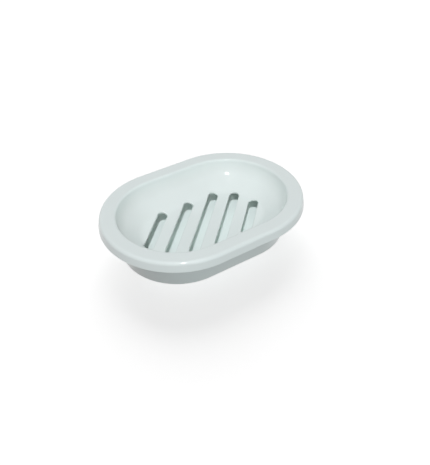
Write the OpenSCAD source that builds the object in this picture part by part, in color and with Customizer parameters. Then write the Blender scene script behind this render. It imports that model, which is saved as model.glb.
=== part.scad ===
// Oval soap dish in two mouldings: a slotted drain tray that lifts off a drip pan.
// Origin: centre of the pan's foot, on the table. +X runs along the dish, +Z is up.

/* [Dish] */
// Overall length, over the tray's rim
dish_len = 140; // [125:1:160]
// Overall width, over the tray's rim
dish_w = 101; // [94:1:112]
// Height of the rim above the table
dish_h = 28.5; // [27:0.5:34]

/* [Tray rim] */
// Width of the rim, from its outer edge to the edge over the bowl
rim_w = 9.8; // [9:0.1:12]
// Thickness of the rim's flat top
rim_t = 1.6; // [1.2:0.1:2.4]
// Height of the band that hangs from the rim's outer edge
band_h = 6.5; // [5:0.1:9]
// Thickness of the band
band_t = 1.6; // [1.2:0.1:2.4]
// How far the band's lower edge flares out past its top
band_flare = 1.1; // [0.4:0.1:1.6]
// Rounding of the rim's outer edge
rim_round = 2.5; // [1:0.1:3]
// Rounding of the edge over the bowl
lip_round = 1.8; // [0.8:0.1:2]

/* [Tray bowl] */
// Depth of the bowl's floor below the rim
bowl_depth = 17.8; // [16:0.1:20]
// Wall of the bowl
bowl_t = 1.4; // [1:0.1:2]
// Radius of the sweep between the floor and the wall
foot_sweep = 8; // [4:0.5:12]
// Radius of the sweep between the wall and the lip
head_sweep = 15.8; // [14:0.2:17]
// Lean of the wall where it leaves the floor, in degrees
foot_lean = 33; // [28:1:35]
// Lean of the wall where it turns up to the lip, in degrees
wall_lean = 40; // [38:1:44]
// Lean of the wall at the lip, in degrees
lip_lean = 79; // [74:1:84]

/* [Tray slots] */
// Number of drain slots
slot_count = 5; // [1:1:5]
// Width of a slot
slot_w = 6.8; // [5:0.1:8]
// Distance between the slots' centre lines
slot_pitch = 14.45; // [12:0.05:14.5]
// Turn of the slots from the dish's length, in degrees
slot_turn = 44.5; // [38:0.5:52]
// How far the slots' round ends run past the flat floor
slot_over = 4.2; // [0:0.1:4.6]

/* [Pan] */
// Level thickness of the pan's wall
pan_t = 1.8; // [1.4:0.1:2.4]
// Thickness of the pan's floor
pan_floor_t = 2; // [1.4:0.1:3]
// How far the pan's foot stands in from the rim's outer edge
foot_in = 13.1; // [11:0.1:16]
// Rounding of the foot's outer edge
foot_round = 1.5; // [0.5:0.1:3]
// Radius of the sweep between the pan's floor and wall
pan_sweep = 4; // [2:0.5:6]
// Gap between the pan's mouth and the bowl that nests in it
nest_gap = 1; // [0.5:0.1:1.5]

/* [Hidden] */
$fn = 180;

// How far a cut runs past the surface that it opens
cut_over = 1;
// Reach of a disc's slice, as a share of the disc's radius
slice_reach_share = 1.6;
// How far each slot's two ends stand off the shared oval, as shares of the slot's width
far_end_shares = [-0.02, -0.02, 0, -0.16, -0.15];
near_end_shares = [0.08, -0.55, -0.43, 0.16, 0.09];

// Half of the straight stretch of the oval, between the centres of its round ends
straight = (dish_len - dish_w) / 2;
rim_r = dish_w / 2;
seat_z = dish_h - rim_t;

// Unit step on a rounding, turned by an angle from straight down towards the rim
function aim(turn) = [sin(turn), -cos(turn)];

// The bowl's section, from the lip down: each sweep starts where the last one ends
lip_centre = [rim_r - rim_w, dish_h - lip_round];
lip_foot = lip_centre - lip_round * aim(lip_lean);
head_centre = lip_foot - head_sweep * aim(lip_lean);
head_foot = head_centre + head_sweep * aim(wall_lean);
floor_z = dish_h - bowl_depth;
foot_top_z = floor_z + foot_sweep * (1 - cos(foot_lean));
wall_sweep = (head_foot.y - foot_top_z) / (cos(foot_lean) - cos(wall_lean));
wall_centre = head_foot - wall_sweep * aim(wall_lean);
foot_centre = wall_centre + (wall_sweep - foot_sweep) * aim(foot_lean);
floor_r = foot_centre.x;

// The rim's band leans out by its flare
band_lean = atan(band_flare / band_h);
rim_edge_centre = [
    rim_r - band_flare + rim_round * tan(band_lean) - rim_round / cos(band_lean),
    dish_h - rim_round
];
band_inner_r = rim_r - band_t;

// The pan's mouth goes round the bowl, and its wall leans in to the foot
bowl_outer_r = lip_foot.x + bowl_t * sin(lip_lean);
mouth_r = bowl_outer_r + nest_gap + pan_t;
foot_r = rim_r - foot_in;
pan_lean = atan((mouth_r - foot_r) / seat_z);

// Slot ends lie on an oval that follows the floor
slot_end_r = floor_r + slot_over - slot_w / 2;

// Slice of a disc between two turns
module slice(centre, r, from, to) {
    reach = r * slice_reach_share;
    intersection() {
        translate(centre) circle(r);
        polygon([
            centre,
            centre + reach * aim(from),
            centre + reach * aim((from + to) / 2),
            centre + reach * aim(to)
        ]);
    }
}

// Body of the oval outline, made from half of its section
module oval_body() {
    for (end = [0, 1])
        rotate(180 * end)
            translate([straight, 0, 0])
                rotate(-90)
                    rotate_extrude(angle = 180) children();
    rotate([90, 0, 90])
        linear_extrude(2 * straight, center = true) {
            children();
            mirror([1, 0]) children();
        }
}

// Room inside the bowl, grown outwards and closed at a height
module bowl_section(grow, top_z) {
    foot_end = foot_centre + (foot_sweep + grow) * aim(foot_lean);
    wall_end = wall_centre + (wall_sweep + grow) * aim(wall_lean);
    head_end = head_centre + (head_sweep + grow) * aim(lip_lean);
    intersection() {
        union() {
            polygon([
                [0, top_z],
                [0, floor_z - grow],
                [floor_r, floor_z - grow],
                foot_end,
                wall_end,
                head_end,
                [head_end.x, top_z]
            ]);
            slice(foot_centre, foot_sweep + grow, 0, foot_lean);
            slice(wall_centre, wall_sweep + grow, foot_lean, wall_lean);
            slice(head_centre, head_sweep + grow, wall_lean, lip_lean);
        }
        translate([0, floor_z - grow]) square([rim_r, top_z - floor_z + grow]);
    }
}

// What the rounding takes off the edge over the bowl
module lip_cut_section() {
    difference() {
        polygon([
            lip_foot,
            lip_centre,
            [lip_centre.x, dish_h + cut_over],
            [lip_foot.x, dish_h + cut_over]
        ]);
        translate(lip_centre) circle(lip_round);
    }
}

// Flat rim with its band
module rim_section() {
    polygon([
        [lip_foot.x, dish_h],
        [rim_edge_centre.x, dish_h],
        rim_edge_centre + rim_round * aim(90 + band_lean),
        [rim_r, dish_h - band_h],
        [band_inner_r, dish_h - band_h],
        [band_inner_r - (band_h - rim_t) * tan(band_lean), seat_z],
        [lip_foot.x, seat_z]
    ]);
    slice(rim_edge_centre, rim_round, 90 + band_lean, 180);
}

module tray_section() {
    difference() {
        union() {
            bowl_section(bowl_t, dish_h);
            rim_section();
        }
        bowl_section(0, dish_h + cut_over);
        lip_cut_section();
    }
}

// Distance along a slot from its middle to an oval of radius r, for the slot's offset
function oval_reach(offset, r) =
    let (
        across = cos(slot_turn),
        up = sin(slot_turn),
        straight_reach = (r + across * offset) / up,
        x = up * offset + across * straight_reach,
        side = x > straight ? straight : -straight,
        half_chord_squared = r ^ 2 + (across * side) ^ 2 - offset ^ 2 + 2 * offset * up * side - side ^ 2
    )
    abs(x) <= straight ? straight_reach : across * side + sqrt(half_chord_squared);

// Through cut of one slot
module slot_cut(index) {
    place = index - (slot_count - 1) / 2;
    nearest = floor(place + (len(far_end_shares) - 1) / 2);
    offset = place * slot_pitch;
    far = oval_reach(offset, slot_end_r) + far_end_shares[nearest] * slot_w;
    near = -oval_reach(-offset, slot_end_r) - near_end_shares[nearest] * slot_w;
    rotate(slot_turn)
        translate([0, -offset, floor_z - bowl_t - cut_over])
            linear_extrude(bowl_depth + bowl_t + cut_over) {
                translate([near, -slot_w / 2]) square([far - near, slot_w]);
                for (end = [near, far])
                    translate([end, 0]) circle(d = slot_w);
            }
}

// Upper moulding: holds the soap and drains into the pan
module drain_tray() {
    color([0.83, 0.89, 0.87])
        difference() {
            oval_body() tray_section();
            for (index = [0 : slot_count - 1]) slot_cut(index);
        }
}

// Room of the pan: a flat foot, a rounded corner and a wall that leans out
module pan_room(foot, floor_height, corner, top_z) {
    corner_centre = [
        foot + (floor_height + corner) * tan(pan_lean) - corner / cos(pan_lean),
        floor_height + corner
    ];
    polygon([
        [0, top_z],
        [0, floor_height],
        [corner_centre.x, floor_height],
        corner_centre + corner * aim(90 - pan_lean),
        [foot + top_z * tan(pan_lean), top_z]
    ]);
    slice(corner_centre, corner, 0, 90 - pan_lean);
}

module pan_section() {
    difference() {
        pan_room(foot_r, 0, foot_round, seat_z);
        pan_room(foot_r - pan_t, pan_floor_t, pan_sweep, seat_z + cut_over);
    }
}

// Lower moulding: stands on the table, carries the tray's rim and catches the water
module drip_pan() {
    color([0.8, 0.87, 0.85]) oval_body() pan_section();
}

drain_tray();
drip_pan();
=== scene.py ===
"""Oval soap dish in pale mint gloss plastic: a slotted drain tray resting on a drip pan."""
import math

import bmesh
import bpy
from mathutils import Matrix, Vector


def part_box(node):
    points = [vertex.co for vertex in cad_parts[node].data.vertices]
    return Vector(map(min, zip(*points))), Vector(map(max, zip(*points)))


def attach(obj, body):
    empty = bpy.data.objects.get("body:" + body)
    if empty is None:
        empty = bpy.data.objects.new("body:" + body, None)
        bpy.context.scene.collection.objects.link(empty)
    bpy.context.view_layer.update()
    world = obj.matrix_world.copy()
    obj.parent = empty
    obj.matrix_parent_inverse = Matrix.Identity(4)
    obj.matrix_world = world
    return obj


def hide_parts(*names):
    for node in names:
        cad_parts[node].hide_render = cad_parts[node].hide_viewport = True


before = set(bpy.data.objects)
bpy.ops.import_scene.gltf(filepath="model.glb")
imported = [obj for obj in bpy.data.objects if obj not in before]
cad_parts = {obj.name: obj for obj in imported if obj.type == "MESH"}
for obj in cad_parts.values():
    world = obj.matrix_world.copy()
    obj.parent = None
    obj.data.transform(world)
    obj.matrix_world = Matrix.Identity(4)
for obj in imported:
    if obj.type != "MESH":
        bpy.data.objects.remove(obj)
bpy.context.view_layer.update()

tray_low, tray_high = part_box("drain_tray")
pan_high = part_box("drip_pan")[1]

# Overall sizes, in metres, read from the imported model
rim_radius = (tray_high.y - tray_low.y) / 2
half_run = (tray_high.x - tray_low.x) / 2 - rim_radius
dish_height = tray_high.z
seat_height = pan_high.z

# Rim and band of the tray
rim_width = 0.0098
rim_thickness = dish_height - seat_height
band_height = 0.0065
band_thickness = 0.0016
band_flare = 0.0011
rim_rounding = 0.0025
lip_rounding = 0.0018

# Bowl of the tray: the plate is the middle of its floor, which the slots cross
bowl_depth = 0.0178
bowl_wall = 0.0014
foot_sweep = 0.008
head_sweep = 0.0158
foot_lean = math.radians(33)
wall_lean = math.radians(40)
lip_lean = math.radians(79)
plate_radius = 0.029

# Drain slots: the shares move each slot's ends outwards, in slot widths
slot_count = 5
slot_width = 0.0068
slot_pitch = 0.01445
slot_turn = math.radians(44.5)
slot_over = 0.0042
far_end_shares = (-0.02, -0.02, 0, -0.16, -0.15)
near_end_shares = (0.08, -0.55, -0.43, 0.16, 0.09)

# Drip pan
pan_wall = 0.0018
pan_floor = 0.002
foot_in = 0.0131
foot_rounding = 0.0015
pan_sweep = 0.004
nest_gap = 0.001

# Edges as the mould leaves them: each one that turns more than its least turn is rounded
moulded_edge = 0.00025
moulded_least_turn = math.radians(35)
slot_edge = 0.00035
slot_least_turn = math.radians(60)
edge_segments = 3
edge_profile = 0.5

# Fineness of the meshes, and how far a face's normal may rise if the face stands upright
turn_steps = 112
slot_turn_steps = 24
run_steps = 14
run_step = 2 * half_run / run_steps
arc_step = math.radians(5)
least_arc_steps = 2
plate_cell = 0.0009
merge_distance = 2e-6
cut_distance = 5 * merge_distance
upright_rise = 0.5

# Plastic: scales are counts per metre, details are octaves, and the ripple's height is in metres
tray_colour = (0.82, 0.925, 0.88)
# The pan is the tray's mint plastic made lighter, which is painted light for the pan's floor seen lit
# through the slots, and made slightly greener
pan_colour_with_painted_light = (0.84, 0.965, 0.92)
flow_scale = 45
flow_detail = 3
flow_tint = 0.012
grain_scale = 900
grain_detail = 2
body_roughness = (0.40, 0.48)
body_specular = 0.3
skin_weight = 0.8
skin_roughness = 0.08
ripple_scale = 160
ripple_detail = 1
ripple_height = 0.00001
pattern_low, pattern_high = 0.3, 0.7

# Camera: turned from the dish's width, raised above the table, and how far it is off the dish's centre
camera_turn = math.radians(34.14)
camera_rise = math.radians(39.03)
camera_distance = 0.4028
camera_right = 0.00753
camera_up = -0.02034
camera_lens = 48.22
camera_sensor = 36

# Floor
floor_size = 6.0
floor_drop = 0.0001
floor_grey = 0.8
floor_roughness = 0.6
floor_glow = 0.72

# Lamps of the dish, as seen from it: name, azimuth and elevation in degrees, distance, width, height,
# power, colour, then whether the lamp shades the surfaces and whether it shows in their gloss
lamp_distance = 3.0
lamps = (
    ("key lamp", -45, 68, lamp_distance, 0.25, 0.25, 52.5, (0.97, 0.99, 1.04), True, False),
    ("front lamp", -26, 30, lamp_distance, 2.0, 2.0, 17.3, (1.0, 0.935, 0.965), True, False),
    ("low lamp", 6, 3, lamp_distance, 0.3, 0.3, 10.2, (0.78, 1.0, 1.06), True, False),
    ("rear lamp", 180, 4, lamp_distance, 0.4, 0.4, 7.0, (0.97, 0.99, 1.04), True, False),
    ("glint lamp", -27.7, 55.7, 0.416, 0.03, 0.06, 0.6, (1, 1, 1), False, True),
)

# The floor's own lamp, behind the dish
floor_lamp_azimuth = math.radians(151)
floor_lamp_elevation = math.radians(24)
floor_lamp_spread = math.radians(56)
floor_lamp_strength = 3.4

# Surroundings and view
studio_strength = 1.0
view_gamma = 1.4


def aim(turn):
    """Unit step in the section's (out, up) plane, turned from straight down towards the rim."""
    return Vector((math.sin(turn), -math.cos(turn)))


# The bowl's section, as (out from the end's axis, up): each sweep starts where the last one ends
lip_centre = Vector((rim_radius - rim_width, dish_height - lip_rounding))
lip_foot = lip_centre - lip_rounding * aim(lip_lean)
head_centre = lip_foot - head_sweep * aim(lip_lean)
head_foot = head_centre + head_sweep * aim(wall_lean)
floor_height = dish_height - bowl_depth
foot_top_height = floor_height + foot_sweep * (1 - math.cos(foot_lean))
wall_sweep = (head_foot.y - foot_top_height) / (math.cos(foot_lean) - math.cos(wall_lean))
wall_centre = head_foot - wall_sweep * aim(wall_lean)
foot_centre = wall_centre + (wall_sweep - foot_sweep) * aim(foot_lean)

# The band leans out by its flare
band_lean = math.atan(band_flare / band_height)
edge_centre = Vector((
    rim_radius - band_flare + rim_rounding * math.tan(band_lean) - rim_rounding / math.cos(band_lean),
    dish_height - rim_rounding,
))

# The pan's mouth goes round the bowl
mouth_radius = lip_foot.x + bowl_wall * math.sin(lip_lean) + nest_gap + pan_wall
pan_foot = rim_radius - foot_in
pan_lean = math.atan((mouth_radius - pan_foot) / seat_height)
slot_end_radius = foot_centre.x + slot_over - slot_width / 2


def spin(bm, parts, centre, angle, steps, axis=(0, 0, 1), shift=(0, 0, 0)):
    """Draws parts out while they turn about a centre or shift, and gives where they end."""
    return bmesh.ops.spin(
        bm, geom=parts, cent=centre, axis=axis, dvec=shift, angle=angle, steps=steps,
        use_merge=False, use_duplicate=False,
    )["geom_last"]


def spin_point(bm, tip, centre, angle, steps, axis=(0, 0, 1)):
    """Draws a chain from one point round a centre, and gives its last point."""
    ended = spin(bm, [tip], centre, angle, steps, axis)
    return next(part for part in ended if isinstance(part, bmesh.types.BMVert))


def start_chain(bm, place):
    """First point of a chain."""
    return bmesh.ops.create_vert(bm, co=place)["vert"][0]


def extend_chain(bm, tip):
    """Next point of a chain, still in the place of the last one."""
    return bmesh.ops.extrude_vert_indiv(bm, verts=[tip])["verts"][0]


class Section:
    """Outline of a moulding's wall, drawn as one chain from point to point."""

    def __init__(self, bm, point):
        self.bm = bm
        self.tip = start_chain(bm, (point[0], 0, point[1]))

    def line(self, point):
        """Straight stretch to a point."""
        self.tip = extend_chain(self.bm, self.tip)
        self.tip.co = (point[0], 0, point[1])

    def arc(self, centre, start, end):
        """Round stretch about a centre, from one turn to another."""
        steps = max(least_arc_steps, round(abs(end - start) / arc_step))
        self.tip = spin_point(self.bm, self.tip, (centre[0], 0, centre[1]), start - end, steps, (0, 1, 0))


def sweep_oval(bm):
    """Carries the section, drawn out along X, once round the oval and closes the ring."""
    bmesh.ops.rotate(bm, verts=bm.verts[:], matrix=Matrix.Rotation(-math.pi / 2, 3, "Z"))
    bmesh.ops.translate(bm, verts=bm.verts[:], vec=(half_run, 0, 0))
    ring = bm.verts[:] + bm.edges[:]
    for side in (1, -1):
        ring = spin(bm, ring, (side * half_run, 0, 0), math.pi, turn_steps)
        ring = spin(bm, ring, (0, 0, 0), 0, run_steps, shift=(-side * run_step, 0, 0))
    bmesh.ops.remove_doubles(bm, verts=bm.verts[:], dist=merge_distance)


def round_hard_edges(bm, size, least_turn, clamp):
    """Gives every hard edge between two faces the small rounding that a mould leaves."""
    hard = [edge for edge in bm.edges if len(edge.link_faces) == 2 and edge.calc_face_angle() > least_turn]
    bmesh.ops.bevel(
        bm, geom=hard, offset=size, offset_type="OFFSET", segments=edge_segments, profile=edge_profile,
        affect="EDGES", material=-1, clamp_overlap=clamp,
    )


def finish_piece(name, bm, body, node, material):
    """Turns a closed mesh into a smooth-shaded piece that rides its body."""
    bmesh.ops.remove_doubles(bm, verts=bm.verts[:], dist=merge_distance)
    bmesh.ops.recalc_face_normals(bm, faces=bm.faces[:])
    for face in bm.faces:
        face.smooth = True
    mesh = bpy.data.meshes.new(name)
    bm.to_mesh(mesh)
    bm.free()
    mesh.materials.append(material)
    piece = bpy.data.objects.new(name, mesh)
    bpy.context.scene.collection.objects.link(piece)
    piece.modifiers.new("even shading", "WEIGHTED_NORMAL")
    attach(piece, body)
    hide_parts(node)
    return piece


def oval_radius(x, y):
    """Distance of a point from the oval's spine, in plan."""
    return math.hypot(max(abs(x) - half_run, 0), y)


def surface_height(out, grown):
    """Height of the bowl's inner surface, or of one grown outwards from it, near the floor."""
    foot_end = foot_centre.x + (foot_sweep + grown) * math.sin(foot_lean)
    if out <= foot_centre.x:
        return floor_height - grown
    if out <= foot_end:
        centre, sweep = foot_centre, foot_sweep + grown
    else:
        centre, sweep = wall_centre, wall_sweep + grown
    return centre.y - math.sqrt(sweep ** 2 - (out - centre.x) ** 2)


def oval_reach(offset, radius):
    """Distance along a slot from its middle to the oval of a radius, for the slot's offset."""
    across, up = math.cos(slot_turn), math.sin(slot_turn)
    straight_reach = (radius + across * offset) / up
    x = up * offset + across * straight_reach
    if abs(x) <= half_run:
        return straight_reach
    side = math.copysign(half_run, x)
    half_chord_squared = (
        radius ** 2 + (across * side) ** 2 - offset ** 2 + 2 * offset * up * side - side ** 2
    )
    return across * side + math.sqrt(half_chord_squared)


def slot_ends(index):
    """Offset of a slot, and its two end centres along it."""
    offset = (index - (slot_count - 1) / 2) * slot_pitch
    far = oval_reach(offset, slot_end_radius) + far_end_shares[index] * slot_width
    near = -oval_reach(-offset, slot_end_radius) - near_end_shares[index] * slot_width
    return offset, near, far


def oval_outline(bm, radius):
    """Closed chain of edges round the oval, with the same points as the swept wall."""
    tip = start_chain(bm, (half_run, -radius, 0))
    for side in (1, -1):
        tip = spin_point(bm, tip, (side * half_run, 0, 0), math.pi, turn_steps)
        for _ in range(run_steps):
            tip = extend_chain(bm, tip)
            tip.co.x -= side * run_step


def slot_outline(bm, index):
    """Closed chain of edges round one slot, drawn along X and turned into place."""
    offset, near, far = slot_ends(index)
    earlier = set(bm.verts)
    tip = start_chain(bm, (far, -offset - slot_width / 2, 0))
    for middle, beyond in ((far, near), (near, far)):
        tip = spin_point(bm, tip, (middle, -offset, 0), math.pi, slot_turn_steps)
        tip = extend_chain(bm, tip)
        tip.co.x = beyond
    outline = [vert for vert in bm.verts if vert not in earlier]
    bmesh.ops.rotate(bm, verts=outline, matrix=Matrix.Rotation(slot_turn, 3, "Z"))


def cut_plate(bm):
    """Flat plate with the slots cut through it, their edges rounded and its own side left open."""
    oval_outline(bm, plate_radius)
    for index in range(slot_count):
        slot_outline(bm, index)
    bmesh.ops.remove_doubles(bm, verts=bm.verts[:], dist=merge_distance)
    bmesh.ops.triangle_fill(bm, edges=bm.edges[:], use_beauty=True, use_dissolve=False, normal=(0, 0, 1))
    raised = bmesh.ops.extrude_face_region(bm, geom=bm.faces[:])["geom"]
    upper = [part for part in raised if isinstance(part, bmesh.types.BMVert)]
    bmesh.ops.translate(bm, verts=upper, vec=(0, 0, bowl_wall))
    bmesh.ops.recalc_face_normals(bm, faces=bm.faces[:])
    outer_side = [
        face for face in bm.faces
        if all(oval_radius(vert.co.x, vert.co.y) > plate_radius - slot_edge for vert in face.verts)
        and abs(face.normal.z) < upright_rise
    ]
    bmesh.ops.delete(bm, geom=outer_side, context="FACES")
    round_hard_edges(bm, slot_edge, slot_least_turn, clamp=False)


def divide_plate(bm):
    """Cuts the plate into small cells, along the slots and across them, so that it can curve."""
    reach = half_run + plate_radius
    for turn in (slot_turn, slot_turn + math.pi / 2):
        across = Vector((-math.sin(turn), math.cos(turn), 0))
        for cut in range(math.ceil(2 * reach / plate_cell)):
            place = -reach + (cut + 0.5) * plate_cell
            inner = [edge for edge in bm.edges if len(edge.link_faces) == 2]
            bmesh.ops.bisect_plane(
                bm, geom=bm.verts[:] + inner + bm.faces[:], dist=cut_distance,
                plane_co=across * place, plane_no=across,
            )


def curve_plate(bm):
    """Raises the flat plate to the bowl's curve, with the bowl's wall between its two faces."""
    for vert in bm.verts:
        out = oval_radius(vert.co.x, vert.co.y)
        under = surface_height(out, bowl_wall)
        over = surface_height(out, 0)
        vert.co.z = under + vert.co.z / bowl_wall * (over - under)


def add_plate(bm):
    """Adds the slotted floor to the tray's swept wall."""
    plate = bmesh.new()
    cut_plate(plate)
    divide_plate(plate)
    curve_plate(plate)
    mesh = bpy.data.meshes.new("floor of the bowl")
    plate.to_mesh(mesh)
    plate.free()
    bm.from_mesh(mesh)
    bpy.data.meshes.remove(mesh)


def make_tray(material):
    """Upper moulding, with its rim, band, bowl and slots."""
    bm = bmesh.new()
    start = math.asin((plate_radius - wall_centre.x) / wall_sweep)
    under_start = math.asin((plate_radius - wall_centre.x) / (wall_sweep + bowl_wall))
    under_end = math.acos((head_centre.y - seat_height) / (head_sweep + bowl_wall))
    band_inner = rim_radius - band_thickness
    section = Section(bm, (plate_radius, surface_height(plate_radius, 0)))
    section.arc(wall_centre, start, wall_lean)
    section.arc(head_centre, wall_lean, lip_lean)
    section.arc(lip_centre, lip_lean + math.pi, math.pi)
    section.line((edge_centre.x, dish_height))
    section.arc(edge_centre, math.pi, math.pi / 2 + band_lean)
    section.line((rim_radius, dish_height - band_height))
    section.line((band_inner, dish_height - band_height))
    section.line((band_inner - (band_height - rim_thickness) * math.tan(band_lean), seat_height))
    section.line(head_centre + (head_sweep + bowl_wall) * aim(under_end))
    section.arc(head_centre, under_end, wall_lean)
    section.arc(wall_centre, wall_lean, under_start)
    sweep_oval(bm)
    round_hard_edges(bm, moulded_edge, moulded_least_turn, clamp=True)
    add_plate(bm)
    return finish_piece("soap_tray", bm, "drain_tray", "drain_tray", material)


def corner_centre(foot, height, corner):
    """Centre of the rounding between a level face and the pan's leaning wall."""
    out = foot + (height + corner) * math.tan(pan_lean) - corner / math.cos(pan_lean)
    return Vector((out, height + corner))


def make_pan(material):
    """Lower moulding: flat foot, rounded corner and a wall that leans out to the mouth."""
    bm = bmesh.new()
    inner_foot = pan_foot - pan_wall
    inner_corner = corner_centre(inner_foot, pan_floor, pan_sweep)
    outer_corner = corner_centre(pan_foot, 0, foot_rounding)
    upright = math.pi / 2 - pan_lean
    section = Section(bm, (inner_corner.x, pan_floor))
    section.arc(inner_corner, 0, upright)
    section.line((inner_foot + seat_height * math.tan(pan_lean), seat_height))
    section.line((mouth_radius, seat_height))
    section.line(outer_corner + foot_rounding * aim(upright))
    section.arc(outer_corner, upright, 0)
    sweep_oval(bm)
    open_edges = [edge for edge in bm.edges if len(edge.link_faces) == 1]
    bmesh.ops.edgeloop_fill(bm, edges=open_edges)
    round_hard_edges(bm, moulded_edge, moulded_least_turn, clamp=True)
    return finish_piece("drip_dish", bm, "drip_pan", "drip_pan", material)


def noise(nodes, links, place, scale, detail):
    """Cloudy pattern fixed to the piece, as a value from 0 to 1."""
    texture = nodes.new("ShaderNodeTexNoise")
    texture.inputs["Scale"].default_value = scale
    texture.inputs["Detail"].default_value = detail
    links.new(place.outputs["Object"], texture.inputs["Vector"])
    return texture.outputs["Fac"]


def spread(nodes, links, value, low, high):
    """Maps a pattern's middle stretch onto a range of numbers."""
    ramp = nodes.new("ShaderNodeMapRange")
    ramp.inputs["From Min"].default_value = pattern_low
    ramp.inputs["From Max"].default_value = pattern_high
    ramp.inputs["To Min"].default_value = low
    ramp.inputs["To Max"].default_value = high
    links.new(value, ramp.inputs["Value"])
    return ramp.outputs["Result"]


def gloss_plastic(name, colour):
    """Moulded plastic: a soft body under a glossy skin, with faint flow marks, grain and ripple."""
    material = bpy.data.materials.new(name)
    material.use_nodes = True
    nodes, links = material.node_tree.nodes, material.node_tree.links
    shader = nodes["Principled BSDF"]
    place = nodes.new("ShaderNodeTexCoord")
    tint = nodes.new("ShaderNodeMix")
    tint.data_type = "RGBA"
    tint.inputs["A"].default_value = (*[part * (1 - flow_tint) for part in colour], 1)
    tint.inputs["B"].default_value = (*[part * (1 + flow_tint) for part in colour], 1)
    flow = noise(nodes, links, place, flow_scale, flow_detail)
    links.new(spread(nodes, links, flow, 0, 1), tint.inputs["Factor"])
    links.new(tint.outputs["Result"], shader.inputs["Base Color"])
    grain = noise(nodes, links, place, grain_scale, grain_detail)
    links.new(spread(nodes, links, grain, *body_roughness), shader.inputs["Roughness"])
    ripple = nodes.new("ShaderNodeBump")
    ripple.inputs["Strength"].default_value = 1
    ripple.inputs["Distance"].default_value = ripple_height
    links.new(noise(nodes, links, place, ripple_scale, ripple_detail), ripple.inputs["Height"])
    links.new(ripple.outputs["Normal"], shader.inputs["Normal"])
    shader.inputs["Specular IOR Level"].default_value = body_specular
    shader.inputs["Coat Weight"].default_value = skin_weight
    shader.inputs["Coat Roughness"].default_value = skin_roughness
    return material


def make_camera():
    """Camera where the photographer stood, found from the oval's outline."""
    camera = bpy.data.objects.new("camera", bpy.data.cameras.new("camera"))
    bpy.context.scene.collection.objects.link(camera)
    bpy.context.scene.camera = camera
    camera.data.sensor_width = camera_sensor
    camera.data.lens = camera_lens
    turn = Matrix.Rotation(-camera_turn, 3, "Z")
    right = turn @ Vector((1, 0, 0))
    up = turn @ Vector((0, math.sin(camera_rise), math.cos(camera_rise)))
    back = turn @ Vector((0, -math.cos(camera_rise), math.sin(camera_rise)))
    stand = Matrix((right, up, back)).transposed().to_4x4()
    stand.translation = (
        back * camera_distance + right * camera_right + up * camera_up + Vector((0, 0, dish_height))
    )
    camera.matrix_world = stand


def make_floor():
    """Plain pale floor under the dish, with a glow of its own that keeps it white."""
    bm = bmesh.new()
    bmesh.ops.create_grid(bm, x_segments=1, y_segments=1, size=floor_size / 2)
    bmesh.ops.translate(bm, verts=bm.verts[:], vec=(0, 0, -floor_drop))
    mesh = bpy.data.meshes.new("floor")
    bm.to_mesh(mesh)
    bm.free()
    floor = bpy.data.objects.new("floor", mesh)
    bpy.context.scene.collection.objects.link(floor)
    floor.visible_diffuse = False
    material = bpy.data.materials.new("pale floor")
    material.use_nodes = True
    shader = material.node_tree.nodes["Principled BSDF"]
    shader.inputs["Base Color"].default_value = (floor_grey, floor_grey, floor_grey, 1)
    shader.inputs["Roughness"].default_value = floor_roughness
    shader.inputs["Specular IOR Level"].default_value = 0
    shader.inputs["Emission Color"].default_value = (1, 1, 1, 1)
    shader.inputs["Emission Strength"].default_value = floor_glow
    mesh.materials.append(material)
    return floor


def place_lamp(lamp, azimuth, elevation, distance):
    """Stands a lamp in a direction seen from the dish, and aims it there."""
    direction = Vector((
        math.sin(azimuth) * math.cos(elevation),
        -math.cos(azimuth) * math.cos(elevation),
        math.sin(elevation),
    ))
    lamp.location = direction * distance + Vector((0, 0, dish_height))
    lamp.rotation_mode = "QUATERNION"
    lamp.rotation_quaternion = direction.to_track_quat("Z", "Y")
    bpy.context.scene.collection.objects.link(lamp)
    return lamp


def area_light(name, azimuth, elevation, distance, width, height, power, colour, shade, gloss):
    """Oval soft lamp, which may shade the surfaces, show in their gloss, or both."""
    data = bpy.data.lights.new(name, "AREA")
    data.shape = "ELLIPSE"
    data.size = width
    data.size_y = height
    data.energy = power
    data.color = colour
    lamp = bpy.data.objects.new(name, data)
    lamp.visible_diffuse = shade
    lamp.visible_glossy = gloss
    return place_lamp(lamp, azimuth, elevation, distance)


def far_light(name, azimuth, elevation, spread_angle, strength):
    """Lamp that lights the whole floor evenly, with a soft-edged shadow: only its direction counts."""
    data = bpy.data.lights.new(name, "SUN")
    data.angle = spread_angle
    data.energy = strength
    return place_lamp(bpy.data.objects.new(name, data), azimuth, elevation, lamp_distance)


def light_only(lamp, pieces):
    """Keeps a lamp's light to some pieces, as a flag does in a studio."""
    lit = bpy.data.collections.new("lit by the " + lamp.name)
    for piece in pieces:
        lit.objects.link(piece)
    lamp.light_linking.receiver_collection = lit


def make_lights(dish, floor):
    """Lamps that light the dish alone, and one that lights the floor alone."""
    for name, azimuth, elevation, *rest in lamps:
        lamp = area_light(name, math.radians(azimuth), math.radians(elevation), *rest)
        light_only(lamp, dish)
    floor_lamp = far_light(
        "floor lamp", floor_lamp_azimuth, floor_lamp_elevation, floor_lamp_spread, floor_lamp_strength,
    )
    light_only(floor_lamp, [floor])


def make_studio():
    """White surroundings, which show behind the dish and in its gloss but don't shade it."""
    world = bpy.data.worlds.new("studio")
    world.use_nodes = True
    background = world.node_tree.nodes["Background"]
    background.inputs["Color"].default_value = (1, 1, 1, 1)
    background.inputs["Strength"].default_value = studio_strength
    bpy.context.scene.world = world
    world.cycles_visibility.diffuse = False
    bpy.context.scene.view_settings.view_transform = "Standard"
    bpy.context.scene.view_settings.gamma = view_gamma


dish = [
    make_tray(gloss_plastic("mint tray plastic", tray_colour)),
    # The pan's lighter copy of the plastic is painted light on the pan's floor seen through the slots
    make_pan(gloss_plastic("mint pan plastic with painted light", pan_colour_with_painted_light)),
]
make_lights(dish, make_floor())
make_studio()
make_camera()
